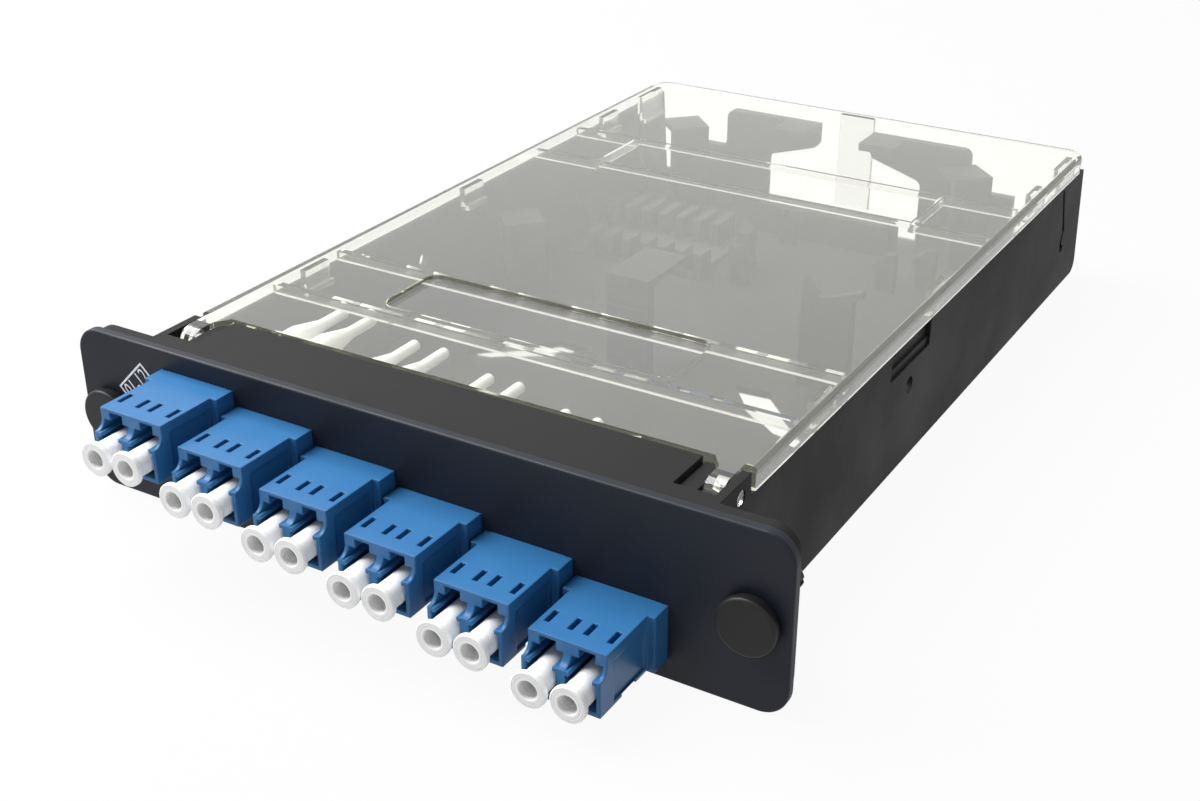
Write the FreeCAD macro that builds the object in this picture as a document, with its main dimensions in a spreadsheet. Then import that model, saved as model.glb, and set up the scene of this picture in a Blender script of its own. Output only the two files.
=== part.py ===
import FreeCAD, Part
import Sketcher
import os
import re

# Fibre cassette. X runs across the faceplate, Y from the faceplate to the rear, Z up.
# The origin is midway between the two latches, on the seat: the rear face of the tray flange.

SIZES = (
    # faceplate and tray flange
    ("plate_width", 130.0),
    ("plate_height", 29.0),
    ("plate_thickness", 1.5),
    ("plate_corner", 4.5),
    ("plate_edge", 0.4),
    ("flange_width", 128.0),
    ("flange_thickness", 2.5),
    ("flange_corner", 4.0),
    ("latch_spacing", 118.0),
    # duplex adapters, stepping down from left to right
    ("adapter_pitch", 15.55),
    ("adapter_drop", 2.6),
    ("adapter_width", 12.5),
    ("adapter_height", 9.1),
    ("adapter_reach", 14.5),
    ("adapter_chin", 1.8),
    ("adapter_cheek", 3.4),
    ("cheek_round", 1.6),
    ("adapter_tail", 12.7),
    ("adapter_flange_width", 15.0),
    ("adapter_flange_depth", 3.7),
    ("adapter_edge", 0.3),
    ("window_gap", 0.1),
    ("port_pitch", 6.25),
    ("port_drop", 5.9),
    ("port_size", 5.0),
    ("port_shoulder", 1.95),
    ("latch_notch_width", 2.6),
    ("roof_thickness", 0.5),
    ("rail_drop", 0.05),
    ("rail_height", 0.6),
    ("rail_rise", 0.68),
    ("rail_length", 10.0),
    ("web_thickness", 1.6),
    ("holder_length", 5.0),
    ("holder_radius", 1.5),
    ("holder_bore", 0.85),
    ("roof_slot_width", 0.85),
    ("roof_slot_length", 2.85),
    ("roof_slot_start", 8.95),
    ("roof_slot_depth", 2.1),
    ("cheek_recess", 0.3),
    ("cheek_border", 1.8),
    ("foot_notch_start", 6.8),
    ("foot_notch_length", 3.8),
    ("foot_notch_height", 0.5),
    ("foot_notch_depth", 0.9),
    ("catch_rise", 0.5),
    ("catch_length", 2.2),
    ("catch_height", 4.0),
    # split alignment sleeves and the ferrules in them
    ("sleeve_radius", 0.8),
    ("sleeve_wall", 0.165),
    ("sleeve_length", 10.6),
    ("sleeve_turn", 340.0),
    ("ferrule_radius", 0.625),
    ("ferrule_gap", 0.05),
    # pigtail connectors and their boots
    ("connector_size", 4.5),
    ("connector_plug", 10.5),
    ("connector_tail", 12.0),
    ("connector_socket_radius", 1.7),
    ("connector_socket_depth", 2.4),
    ("lever_width", 1.8),
    ("lever_rise", 2.2),
    ("lever_length", 10.0),
    ("lever_thickness", 0.7),
    ("boot_radius", 2.35),
    ("boot_collar", 3.0),
    ("boot_taper", 6.3),
    ("boot_tip_radius", 1.05),
    ("boot_tip_length", 7.0),
    # dust caps
    ("cap_stand", 3.35),
    ("cap_rim_radius", 2.85),
    ("cap_rim_thickness", 0.65),
    ("cap_radius", 2.3),
    ("cap_end_radius", 2.15),
    ("cap_plug", 11.5),
    ("cap_bore_radius", 1.5),
    ("cap_bore_depth", 7.0),
    ("cap_socket_radius", 1.72),
    ("cap_socket_depth", 3.6),
    # push-pull latches
    ("barrel_radius", 2.4),
    ("stud_radius", 1.9),
    ("stud_length", 10.0),
    ("stud_taper", 1.2),
    ("stud_nose_radius", 1.1),
    ("latch_hole_gap", 0.1),
    ("grommet_radius", 4.2),
    ("grommet_rim", 0.8),
    ("grommet_bore", 1.3),
    ("grommet_bore_depth", 4.5),
    ("stud_core", 1.0),
    ("leg_slot_width", 0.8),
    ("leg_slot_length", 6.0),
    ("shaft_gap", 0.05),
    ("knob_radius", 4.6),
    ("knob_thickness", 1.3),
    ("knob_gap", 0.1),
    ("knob_edge", 0.5),
    # tray
    ("tray_width", 103.3),
    ("tray_floor", 13.55),
    ("floor_thickness", 1.5),
    ("wall_thickness", 1.5),
    ("wall_top", 10.24),
    ("wall_rear_top", 168.8),
    ("wall_rear_foot", 171.4),
    ("wall_rear_round", 2.5),
    ("deck_top", 14.0),
    ("deck_thickness", 2.0),
    ("deck_length", 10.6),
    ("ear_length", 9.7),
    ("well_start", 1.8),
    ("well_width", 3.45),
    ("deck_slot_inset", 6.6),
    ("deck_slot_width", 0.5),
    ("deck_slot_start", 1.7),
    ("deck_fall", 0.8),
    ("tray_hole_radius", 1.5),
    ("tray_hole_place", 71.1),
    ("tray_hole_rise", 1.2),
    ("grip_start", 61.9),
    ("grip_length", 17.6),
    ("grip_sill", 5.4),
    ("grip_depth", 0.9),
    ("grip_ledge", 1.6),
    ("spring_slot_width", 1.0),
    ("spring_slot_start", 154.6),
    ("spring_slot_lean", 3.4),
    ("spring_slot_top", 9.8),
    ("spring_slot_foot", 0.6),
    ("spring_hook_drop", 4.8),
    # rear wall of the tray
    ("rear_wall_place", 163.0),
    ("rear_wall_thickness", 2.0),
    ("rear_wall_top", 11.2),
    ("rear_gap_half", 6.3),
    ("rear_neck_inner", 18.5),
    ("rear_neck_outer", 29.1),
    ("rear_arm_rise", 6.0),
    ("rear_arm_root", 2.3),
    ("rear_arm_round", 1.8),
    ("rear_notch_sill", 2.4),
    ("rear_entry_inner", 39.3),
    ("rear_entry_sill", 6.0),
    ("rear_tab_length", 8.0),
    ("rear_tab_width", 7.0),
    ("rear_tab_thickness", 1.6),
    ("sill_half", 16.3),
    ("sill_front", 150.0),
    ("sill_depth", 6.0),
    ("sill_height", 6.8),
    ("sill_round", 2.0),
    # fibre guides standing on the tray floor
    ("guide_tab", 8.5),
    ("guide_tab_thickness", 1.2),
    ("guide_top", 7.0),
    ("guide_post", 2.0),
    ("bridge_left", -9.0),
    ("bridge_width", 9.0),
    ("bridge_front", 72.5),
    ("bridge_length", 14.7),
    ("hook_left", 25.0),
    ("hook_width", 10.2),
    ("hook_front", 84.0),
    ("hook_reach", 1.7),
    ("hook_top", 8.8),
    ("hook_dip", 2.7),
    ("finger_width", 3.9),
    ("finger_height", 8.3),
    ("finger_lip", 1.2),
    # splice holder
    ("comb_left", -45.5),
    ("comb_front", 117.2),
    ("comb_width", 31.5),
    ("comb_depth", 25.8),
    ("comb_base", 1.0),
    ("tooth_pitch", 4.35),
    ("tooth_width", 2.0),
    ("front_tooth_start", 5.0),
    ("front_tooth_depth", 4.6),
    ("rear_tooth_depth", 8.5),
    ("tooth_height", 5.0),
    ("comb_post", 3.0),
    ("comb_post_height", 8.0),
    ("comb_post_depth", 4.5),
    ("comb_post_place", 126.0),
    # clear lid
    ("lid_top", 14.1),
    ("lid_thickness", 1.8),
    ("lid_gap", 0.9),
    ("lid_rear", 169.6),
    ("lid_corner", 4.0),
    ("lid_edge", 0.9),
    ("skirt_thickness", 1.0),
    ("skirt_gap", 0.1),
    ("skirt_front", 11.1),
    ("hinge_place", 6.6),
    ("hinge_height", 11.4),
    ("pin_radius", 1.2),
    ("pin_gap", 0.05),
    ("arm_gap", 0.3),
    ("arm_width", 2.95),
    ("arm_flare", 1.9),
    ("flare_start", 2.4),
    ("rib_thickness", 1.5),
    ("rib_depth", 1.7),
    ("rib_shallow", 1.0),
    ("rib_one", 27.2),
    ("rib_two", 44.7),
    ("rib_three", 111.3),
    ("rib_four", 128.2),
    ("rib_step", 34.5),
    ("lid_tab_gap", 0.25),
    ("lid_tab_thickness", 1.2),
    ("lid_tab_length", 6.6),
    ("lid_tab_drop", 4.4),
    ("lid_tab_foot", 1.0),
    ("lid_tab_one", 34.5),
    ("lid_tab_two", 83.6),
    ("lid_tab_three", 138.0),
    ("corner_tab_start", 155.5),
    ("corner_tab_length", 9.5),
    ("corner_tab_drop", 6.0),
    ("tongue_half", 4.0),
    ("tongue_drop", 21.5),
    ("tongue_thickness", 1.2),
    ("tongue_inset", 0.8),
    ("label_half", 28.0),
    ("label_front", 29.2),
    ("label_depth_along", 15.4),
    ("label_recess", 0.7),
    ("label_corner", 2.5),
)

ADAPTERS = 6
PORT_SIDES = (-1, 1)
SIDES = (("left", -1), ("right", 1))

VALUE = dict(SIZES)

# Places that several pieces share, written in the sheet's own words.
PLATE_FRONT = "-(flange_thickness + plate_thickness)"
MOUTH = "-(adapter_reach + adapter_chin)"
WEB = "(adapter_tail - adapter_reach - adapter_chin) / 2"
PORT_HEIGHT = "(adapter_height / 2 - port_drop)"
FLOOR_TOP = "-(tray_floor - floor_thickness)"
TRAY_HALF = "tray_width / 2"
INNER_HALF = "(tray_width / 2 - wall_thickness)"
LID_FRONT = "(deck_length + lid_gap)"
LID_UNDER = "(lid_top - lid_thickness)"
LATCH_HOLE = "(barrel_radius + latch_hole_gap)"

doc = FreeCAD.newDocument("fibre_cassette")
sheet = doc.addObject("Spreadsheet::Sheet", "Sizes")
for row, (alias, number) in enumerate(SIZES, start=1):
    sheet.set("A%d" % row, alias)
    sheet.set("B%d" % row, str(number))
    sheet.setAlias("B%d" % row, alias)
doc.recompute()

WORD = re.compile(r"[a-z][a-z_]+")


def bind(item, prop, text):
    """Tie a property to the sheet; every word in the text is one of its aliases."""
    item.setExpression(prop, WORD.sub(lambda word: "Sizes." + word.group(), text))


def new_body(name):
    return doc.addObject("PartDesign::Body", name)


def origin_feature(body, role):
    return [item for item in body.Origin.OriginFeatures if item.Role == role][0]


def new_sketch(body, name, role, offset):
    """An empty sketch parallel to an origin plane of the body."""
    sketch = body.newObject("Sketcher::SketchObject", name)
    sketch.AttachmentSupport = [(origin_feature(body, role), "")]
    sketch.MapMode = "FlatFace"
    bind(sketch, "AttachmentOffset.Base.z", offset)
    return sketch


def draw_loop(sketch, corners):
    """A closed outline of straight lines, each corner tied to the sheet."""
    count = len(corners)
    first = sketch.GeometryCount
    rough = []
    for index in range(count):
        turn = FreeCAD.Rotation(FreeCAD.Vector(0, 0, 1), 360.0 * index / count)
        rough.append(turn.multVec(FreeCAD.Vector(10 + index, 0, 0)))
    lines = [Part.LineSegment(rough[index], rough[(index + 1) % count]) for index in range(count)]
    sketch.addGeometry(lines, False)
    ties = []
    for index in range(count):
        following = first + (index + 1) % count
        ties.append(Sketcher.Constraint("Coincident", first + index, 2, following, 1))
    start = sketch.ConstraintCount + count
    for index in range(count):
        ties.append(Sketcher.Constraint("DistanceX", -1, 1, first + index, 1, rough[index].x))
        ties.append(Sketcher.Constraint("DistanceY", -1, 1, first + index, 1, rough[index].y))
    sketch.addConstraint(ties)
    for index, (across, along) in enumerate(corners):
        bind(sketch, "Constraints[%d]" % (start + 2 * index), across)
        bind(sketch, "Constraints[%d]" % (start + 2 * index + 1), along)


def draw_box(sketch, left, right, low, high):
    draw_loop(sketch, ((left, low), (right, low), (right, high), (left, high)))


def draw_circle(sketch, across, along, radius):
    first = sketch.GeometryCount
    circle = Part.Circle(FreeCAD.Vector(1, 1, 0), FreeCAD.Vector(0, 0, 1), 1)
    sketch.addGeometry(circle, False)
    start = sketch.ConstraintCount
    sketch.addConstraint([
        Sketcher.Constraint("DistanceX", -1, 1, first, 3, 1.0),
        Sketcher.Constraint("DistanceY", -1, 1, first, 3, 1.0),
        Sketcher.Constraint("Radius", first, 1.0),
    ])
    for place, text in enumerate((across, along, radius)):
        bind(sketch, "Constraints[%d]" % (start + place), text)


def pad(body, name, sketch, length, both_ways=False, backwards=False):
    feature = body.newObject("PartDesign::Pad", name)
    feature.Profile = sketch
    bind(feature, "Length", length)
    feature.Midplane = both_ways
    feature.Reversed = backwards
    return feature


def pocket(body, name, sketch, depth, both_ways=False, backwards=False):
    feature = body.newObject("PartDesign::Pocket", name)
    feature.Profile = sketch
    bind(feature, "Length", depth)
    feature.Midplane = both_ways
    feature.Reversed = backwards
    return feature


def block(body, name, span_x, span_y, span_z, kind="Additive"):
    """A box from lowest to highest along X, Y and Z, added to the body or taken away."""
    feature = body.newObject("PartDesign::%sBox" % kind, name)
    spans = (("Length", "x", span_x), ("Width", "y", span_y), ("Height", "z", span_z))
    for size, axis, (low, high) in spans:
        bind(feature, size, "(%s) - (%s)" % (high, low))
        bind(feature, "Placement.Base." + axis, low)
    return feature


def rod(body, name, turn, place, radius, length, kind="Additive"):
    """A cylinder from a place, along Z turned by the given rotation."""
    feature = body.newObject("PartDesign::%sCylinder" % kind, name)
    feature.Placement = FreeCAD.Placement(FreeCAD.Vector(), turn)
    for axis, text in zip("xyz", place):
        bind(feature, "Placement.Base." + axis, text)
    bind(feature, "Radius", radius)
    bind(feature, "Height", length)
    return feature


ALONG_X = FreeCAD.Rotation(FreeCAD.Vector(0, 1, 0), 90)


def turned(body, name, corners, angle="360"):
    """A solid turned about the Y axis from an outline of radius and place."""
    sketch = new_sketch(body, name + "_outline", "XY_Plane", "0")
    draw_loop(sketch, corners)
    feature = body.newObject("PartDesign::Revolution", name)
    feature.Profile = sketch
    feature.ReferenceAxis = (origin_feature(body, "Y_Axis"), [""])
    bind(feature, "Angle", angle)
    return feature


def find_edges(shape, wanted):
    names = []
    for index, edge in enumerate(shape.Edges, start=1):
        if wanted(edge):
            names.append("Edge%d" % index)
    return names


def round_edges(body, name, base, wanted, radius):
    """Round the edges of a feature that the test picks."""
    doc.recompute()
    feature = body.newObject("PartDesign::Fillet", name)
    feature.Base = (base, find_edges(base.Shape, wanted))
    bind(feature, "Radius", radius)
    return feature


def runs_along(edge, axis):
    box = edge.BoundBox
    sizes = {"x": box.XLength, "y": box.YLength, "z": box.ZLength}
    length = sizes.pop(axis)
    return length > 1e-3 and max(sizes.values()) < 1e-4


def near(first, second):
    return abs(first - second) < 1e-3


pieces = {}


def keep(name, item):
    item.Label = name
    pieces[name] = item


def copy_of(name, masters, x="0", y="0", z="0"):
    """A sub-part made from one or more finished shapes, set at its own place."""
    item = doc.addObject("Part::Compound", name)
    item.Links = masters
    for axis, text in (("x", x), ("y", y), ("z", z)):
        bind(item, "Placement.Base." + axis, text)
    return item


def adapter_x(number):
    return "(%.1f * adapter_pitch)" % (number - (ADAPTERS - 1) / 2)


def adapter_z(number):
    return "(%.1f * adapter_drop)" % ((ADAPTERS - 1) / 2 - number)


def draw_windows(sketch):
    """One opening for each adapter body, in a sketch that looks along Y."""
    for number in range(ADAPTERS):
        half = "(adapter_width / 2 + window_gap)"
        rise = "(adapter_height / 2 + window_gap)"
        x = adapter_x(number)
        z = adapter_z(number)
        draw_box(sketch, x + " - " + half, x + " + " + half, z + " - " + rise, z + " + " + rise)


# Faceplate: a flat plate with rounded corners, six windows and two latch holes.
def make_faceplate():
    body = new_body("faceplate")
    sketch = new_sketch(body, "plate_outline", "XZ_Plane", "flange_thickness")
    draw_box(sketch, "-plate_width / 2", "plate_width / 2", "-plate_height / 2", "plate_height / 2")
    plate = pad(body, "plate", sketch, "plate_thickness")
    corners = round_edges(body, "plate_corners", plate, lambda edge: runs_along(edge, "y"), "plate_corner")
    front = -(VALUE["flange_thickness"] + VALUE["plate_thickness"])

    def on_front(edge):
        return near(edge.BoundBox.YMin, front) and near(edge.BoundBox.YMax, front)

    round_edges(body, "plate_front_edge", corners, on_front, "plate_edge")
    openings = new_sketch(body, "plate_windows", "XZ_Plane", "-(%s)" % PLATE_FRONT)
    draw_windows(openings)
    for _, side in SIDES:
        draw_circle(openings, "%d * latch_spacing / 2" % side, "0", LATCH_HOLE)
    pocket(body, "plate_openings", openings, "plate_thickness")
    keep("faceplate", body)


# Duplex adapter: a hollow block with two keyed ports at each end and a web with sleeve holders.
def make_adapter_master():
    body = new_body("adapter_master")
    half_height = "adapter_height / 2"
    side = new_sketch(body, "side_outline", "YZ_Plane", "0")
    draw_loop(side, (
        ("adapter_tail", "-" + half_height),
        ("adapter_tail", half_height),
        ("-adapter_reach", half_height),
        ("-adapter_reach", half_height + " - adapter_cheek"),
        (MOUTH, half_height + " - adapter_cheek"),
        (MOUTH, "-" + half_height),
    ))
    shell = pad(body, "shell", side, "adapter_width", both_ways=True)
    reach = -VALUE["adapter_reach"]
    cheek = VALUE["adapter_height"] / 2 - VALUE["adapter_cheek"]

    def at_cheek(edge):
        box = edge.BoundBox
        return runs_along(edge, "x") and near(box.YMin, reach) and near(box.ZMin, cheek)

    round_edges(body, "cheek_curve", shell, at_cheek, "cheek_round")
    block(body, "panel_flange", ("-adapter_flange_width / 2", "adapter_flange_width / 2"),
          ("-adapter_flange_depth", "0"), ("-" + half_height, half_height))
    for end, role_offset, backwards in (("front", "-(%s)" % MOUTH, False), ("rear", "-adapter_tail", True)):
        ports = new_sketch(body, end + "_port_outline", "XZ_Plane", role_offset)
        for port in PORT_SIDES:
            draw_port(ports, port)
        depth = "(adapter_reach + adapter_chin + adapter_tail - web_thickness) / 2"
        pocket(body, end + "_ports", ports, depth, backwards=backwards)
    rails = new_sketch(body, "rail_outline", "XZ_Plane", "-(%s)" % MOUTH)
    rail_top = half_height + " - adapter_cheek - rail_drop"
    for port in PORT_SIDES:
        for wall in (-1, 1):
            root = "%d * port_pitch / 2 + %d * (port_size / 2 + window_gap)" % (port, wall)
            edge = "%d * port_pitch / 2 + %d * (port_size / 2 - rail_rise)" % (port, wall)
            draw_box(rails, root, edge, rail_top + " - rail_height", rail_top)
    pad(body, "rails", rails, "rail_length", backwards=True)
    holders = new_sketch(body, "holder_outline", "XZ_Plane", "-(%s)" % WEB)
    bores = new_sketch(body, "holder_bores", "XZ_Plane", "-(%s)" % WEB)
    for port in PORT_SIDES:
        place = "%d * port_pitch / 2" % port
        draw_circle(holders, place, PORT_HEIGHT, "holder_radius")
        draw_circle(bores, place, PORT_HEIGHT, "holder_bore")
    pad(body, "holders", holders, "web_thickness + 2 * holder_length", both_ways=True)
    pocket(body, "bores", bores, "web_thickness + 2 * holder_length", both_ways=True)
    for number, offset in enumerate(("-1.6", "-0.4", "0.4", "1.6")):
        middle = offset + " * port_pitch / 2"
        block(body, "roof_slot_%d" % number,
              (middle + " - roof_slot_width / 2", middle + " + roof_slot_width / 2"),
              ("-(roof_slot_start + roof_slot_length)", "-roof_slot_start"),
              (half_height + " - roof_slot_depth", half_height), "Subtractive")
    for name, sign in SIDES:
        recess = span(sign, "adapter_width / 2 - cheek_recess", "adapter_width / 2")
        block(body, name + "_side_recess", recess,
              ("-(adapter_reach - cheek_border)", "-(adapter_flange_depth + cheek_border / 3)"),
              ("-%s + cheek_border / 3" % half_height, "%s - cheek_border" % half_height), "Subtractive")
        foot = span(sign, "adapter_width / 2 - foot_notch_depth", "adapter_width / 2")
        block(body, name + "_foot_notch", foot,
              ("-(foot_notch_start + foot_notch_length)", "-foot_notch_start"),
              ("-" + half_height, "-%s + foot_notch_height" % half_height), "Subtractive")
        catch = new_sketch(body, name + "_catch_outline", "XY_Plane", "-catch_height / 2")
        root = "%d * (adapter_width / 2 - window_gap)" % sign
        tip = "%d * (adapter_width / 2 + catch_rise)" % sign
        behind = "plate_thickness + flange_thickness + window_gap"
        draw_loop(catch, ((root, behind), (tip, behind), (root, behind + " + catch_length")))
        pad(body, name + "_catch", catch, "catch_height")
    return body


def draw_port(sketch, side):
    """A port for a square plug, with a narrow way in its roof for the plug's lever."""
    middle = "%d * port_pitch / 2" % side
    half = " port_size / 2"
    floor = PORT_HEIGHT + " - port_size / 2"
    shoulder = "adapter_height / 2 - port_shoulder"
    roof = "adapter_height / 2 - roof_thickness"
    draw_loop(sketch, (
        (middle + " -" + half, floor),
        (middle + " +" + half, floor),
        (middle + " +" + half, shoulder),
        (middle + " + latch_notch_width / 2", shoulder),
        (middle + " + latch_notch_width / 2", roof),
        (middle + " - latch_notch_width / 2", roof),
        (middle + " - latch_notch_width / 2", shoulder),
        (middle + " -" + half, shoulder),
    ))


# Split alignment sleeve: an open ring that centres two ferrules.
def make_sleeve_master():
    body = new_body("sleeve_master")
    inner = "sleeve_radius - sleeve_wall"
    turned(body, "sleeve", (
        (inner, "-sleeve_length / 2"),
        ("sleeve_radius", "-sleeve_length / 2"),
        ("sleeve_radius", "sleeve_length / 2"),
        (inner, "sleeve_length / 2"),
    ), angle="sleeve_turn")
    return body


# Dust cap: a rimmed plug, hollow at the front and socketed at the rear for the sleeve holder.
def make_cap_master():
    body = new_body("cap_master")
    front = "-cap_stand"
    turned(body, "cap", (
        ("cap_bore_radius", front),
        ("cap_rim_radius", front),
        ("cap_rim_radius", front + " + cap_rim_thickness"),
        ("cap_radius", front + " + cap_rim_thickness"),
        ("cap_end_radius", "cap_plug"),
        ("cap_socket_radius", "cap_plug"),
        ("cap_socket_radius", "cap_plug - cap_socket_depth"),
        ("0", "cap_plug - cap_socket_depth"),
        ("0", front + " + cap_bore_depth"),
        ("cap_bore_radius", front + " + cap_bore_depth"),
    ))
    return body


# Pigtail connector: a square plug with its spring lever, open round the ferrule at the front.
def make_connector_master():
    body = new_body("connector_master")
    half = "connector_size / 2"
    section = new_sketch(body, "housing_outline", "XZ_Plane", "-connector_tail")
    draw_box(section, "-" + half, half, "-" + half, half)
    housing = pad(body, "housing", section, "connector_plug + connector_tail")
    round_edges(body, "housing_edges", housing, lambda edge: runs_along(edge, "y"), "adapter_edge")
    socket = new_sketch(body, "socket_outline", "XZ_Plane", "connector_plug")
    draw_circle(socket, "0", "0", "connector_socket_radius")
    pocket(body, "socket", socket, "connector_socket_depth")
    lever = new_sketch(body, "lever_outline", "YZ_Plane", "0")
    draw_loop(lever, (
        ("-connector_plug + lever_thickness", half + " - lever_thickness / 2"),
        ("lever_length - connector_plug + lever_thickness", half + " + lever_rise - lever_thickness"),
        ("lever_length - connector_plug", half + " + lever_rise"),
        ("-connector_plug + lever_thickness", half + " + lever_thickness / 2"),
    ))
    pad(body, "lever", lever, "lever_width", both_ways=True)
    return body


def make_ferrule_master():
    body = new_body("ferrule_master")
    foot = "-(connector_plug - connector_socket_depth)"
    tip = WEB + " - adapter_tail + ferrule_gap"
    turned(body, "ferrule", (("0", tip), ("ferrule_radius", tip), ("ferrule_radius", foot), ("0", foot)))
    return body


# Short boot: a collar, a cone and a slim end with a domed tip.
def make_boot_master():
    body = new_body("boot_master")
    collar = "connector_tail + boot_collar"
    cone = collar + " + boot_taper"
    tip = cone + " + boot_tip_length"
    boot = turned(body, "boot", (
        ("0", "connector_tail"),
        ("boot_radius", "connector_tail"),
        ("boot_radius", collar),
        ("boot_tip_radius", cone),
        ("boot_tip_radius", tip),
        ("0", tip),
    ))
    end = sum(VALUE[word] for word in ("connector_tail", "boot_collar", "boot_taper", "boot_tip_length"))

    def at_tip(edge):
        box = edge.BoundBox
        return near(box.YMin, end) and near(box.YMax, end) and box.XLength > 1e-3

    round_edges(body, "boot_dome", boot, at_tip, "boot_tip_radius * 0.96")
    return body


# Latch grommet: a rim, a barrel through both plates and a slimmer stud behind the seat. Four
# grooves part the stud's nose round its core, and the knob's shaft slides in a blind bore.
def make_grommet_master():
    body = new_body("grommet_master")
    seat = "flange_thickness + plate_thickness"
    end = seat + " + stud_length"
    turned(body, "barrel", (
        ("grommet_bore", "-grommet_rim"),
        ("grommet_radius", "-grommet_rim"),
        ("grommet_radius", "0"),
        ("barrel_radius", "0"),
        ("barrel_radius", seat),
        ("stud_radius", seat),
        ("stud_radius", end + " - stud_taper"),
        ("stud_nose_radius", end),
        ("0", end),
        ("0", "grommet_bore_depth - grommet_rim"),
        ("grommet_bore", "grommet_bore_depth - grommet_rim"),
    ))
    thin = ("-leg_slot_width / 2", "leg_slot_width / 2")
    along = (end + " - leg_slot_length", end)
    for name, side in (("low", ("-stud_radius", "-stud_core")), ("high", ("stud_core", "stud_radius"))):
        block(body, "upright_groove_" + name, thin, along, side, "Subtractive")
        block(body, "level_groove_" + name, side, along, thin, "Subtractive")
    return body


# Latch plunger: a round knob on a short shaft that slides in the grommet's bore.
def make_plunger_master():
    body = new_body("plunger_master")
    front = "-(grommet_rim + knob_gap + knob_thickness)"
    back = "-(grommet_rim + knob_gap)"
    end = "grommet_bore_depth - grommet_rim - knob_gap"
    knob = turned(body, "knob", (
        ("0", front),
        ("knob_radius", front),
        ("knob_radius", back),
        ("grommet_bore - shaft_gap", back),
        ("grommet_bore - shaft_gap", end),
        ("0", end),
    ))
    face = -(VALUE["grommet_rim"] + VALUE["knob_gap"] + VALUE["knob_thickness"])

    def on_face(edge):
        box = edge.BoundBox
        return near(box.YMin, face) and near(box.YMax, face) and box.XLength > 1e-3

    round_edges(body, "knob_rim", knob, on_face, "knob_edge")
    return body


def place_repeats():
    adapter = make_adapter_master()
    sleeve = make_sleeve_master()
    cap = make_cap_master()
    connector = make_connector_master()
    boot = make_boot_master()
    ferrule = make_ferrule_master()
    ferrules = []
    for number in range(ADAPTERS):
        x = adapter_x(number)
        z = adapter_z(number)
        keep("adapter_%d" % (number + 1), copy_of("adapter", [adapter], x, PLATE_FRONT, z))
        pair = []
        for port in PORT_SIDES:
            index = 2 * number + (1 if port < 0 else 2)
            port_x = "%s + %d * port_pitch / 2" % (x, port)
            port_z = "%s + %s" % (z, PORT_HEIGHT)
            tail = "%s + adapter_tail" % PLATE_FRONT
            pair.append(copy_of("sleeve", [sleeve], port_x, "%s + %s" % (PLATE_FRONT, WEB), port_z))
            mouth = "%s + %s" % (PLATE_FRONT, MOUTH)
            keep("dust_cap_%02d" % index, copy_of("cap", [cap], port_x, mouth, port_z))
            keep("connector_%02d" % index, copy_of("connector", [connector], port_x, tail, port_z))
            keep("boot_%02d" % index, copy_of("boot", [boot], port_x, tail, port_z))
            ferrules.append(copy_of("ferrule", [ferrule], port_x, tail, port_z))
        keep("alignment_sleeves_%d" % (number + 1), copy_of("sleeves", pair))
    keep("ferrules", copy_of("ferrule_set", ferrules))
    grommet = make_grommet_master()
    plunger = make_plunger_master()
    for name, side in SIDES:
        x = "%d * latch_spacing / 2" % side
        keep("latch_grommet_" + name, copy_of("grommet", [grommet], x, PLATE_FRONT))
        keep("latch_plunger_" + name, copy_of("plunger", [plunger], x, PLATE_FRONT))


# Tray: one moulding with the flange, deck, hinge ears, walls, rear arms and fibre guides.
def make_tray():
    body = new_body("tray")
    flange = new_sketch(body, "flange_outline", "XZ_Plane", "0")
    draw_box(flange, "-flange_width / 2", "flange_width / 2", "-tray_floor", "deck_top")
    flange_pad = pad(body, "flange", flange, "flange_thickness")
    round_edges(body, "flange_corners", flange_pad, lambda edge: runs_along(edge, "y"), "flange_corner")
    for name, side in SIDES:
        make_side_wall(body, name, side)
    block(body, "floor", ("-%s" % INNER_HALF, INNER_HALF), ("0", "rear_wall_place"),
          ("-tray_floor", FLOOR_TOP))
    block(body, "deck", ("-%s" % INNER_HALF, INNER_HALF), ("0", "deck_length"),
          ("deck_top - deck_thickness", "deck_top"))
    add_rear_wall(body)
    add_guides(body)
    openings = new_sketch(body, "flange_windows", "XZ_Plane", "flange_thickness")
    draw_windows(openings)
    for _, side in SIDES:
        draw_circle(openings, "%d * latch_spacing / 2" % side, "0", LATCH_HOLE)
    pocket(body, "flange_openings", openings, "flange_thickness")
    cut_deck(body)
    cut_walls(body)
    cut_floor(body)
    keep("tray", body)


def make_side_wall(body, name, side):
    start = INNER_HALF if side > 0 else "-" + TRAY_HALF
    sketch = new_sketch(body, name + "_wall_outline", "YZ_Plane", start)
    draw_loop(sketch, (
        ("0", "-tray_floor"),
        ("wall_rear_foot", "-tray_floor"),
        ("wall_rear_top", "wall_top"),
        ("ear_length", "wall_top"),
        ("ear_length", "deck_top"),
        ("0", "deck_top"),
    ))
    wall = pad(body, name + "_wall", sketch, "wall_thickness")
    foot = VALUE["wall_rear_foot"]
    outer = side * VALUE["tray_width"] / 2

    def at_foot(edge):
        box = edge.BoundBox
        on_wall = near(box.XMin, outer) or near(box.XMax, outer)
        return runs_along(edge, "x") and on_wall and near(box.YMin, foot)

    round_edges(body, name + "_wall_foot", wall, at_foot, "wall_rear_round")


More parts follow.
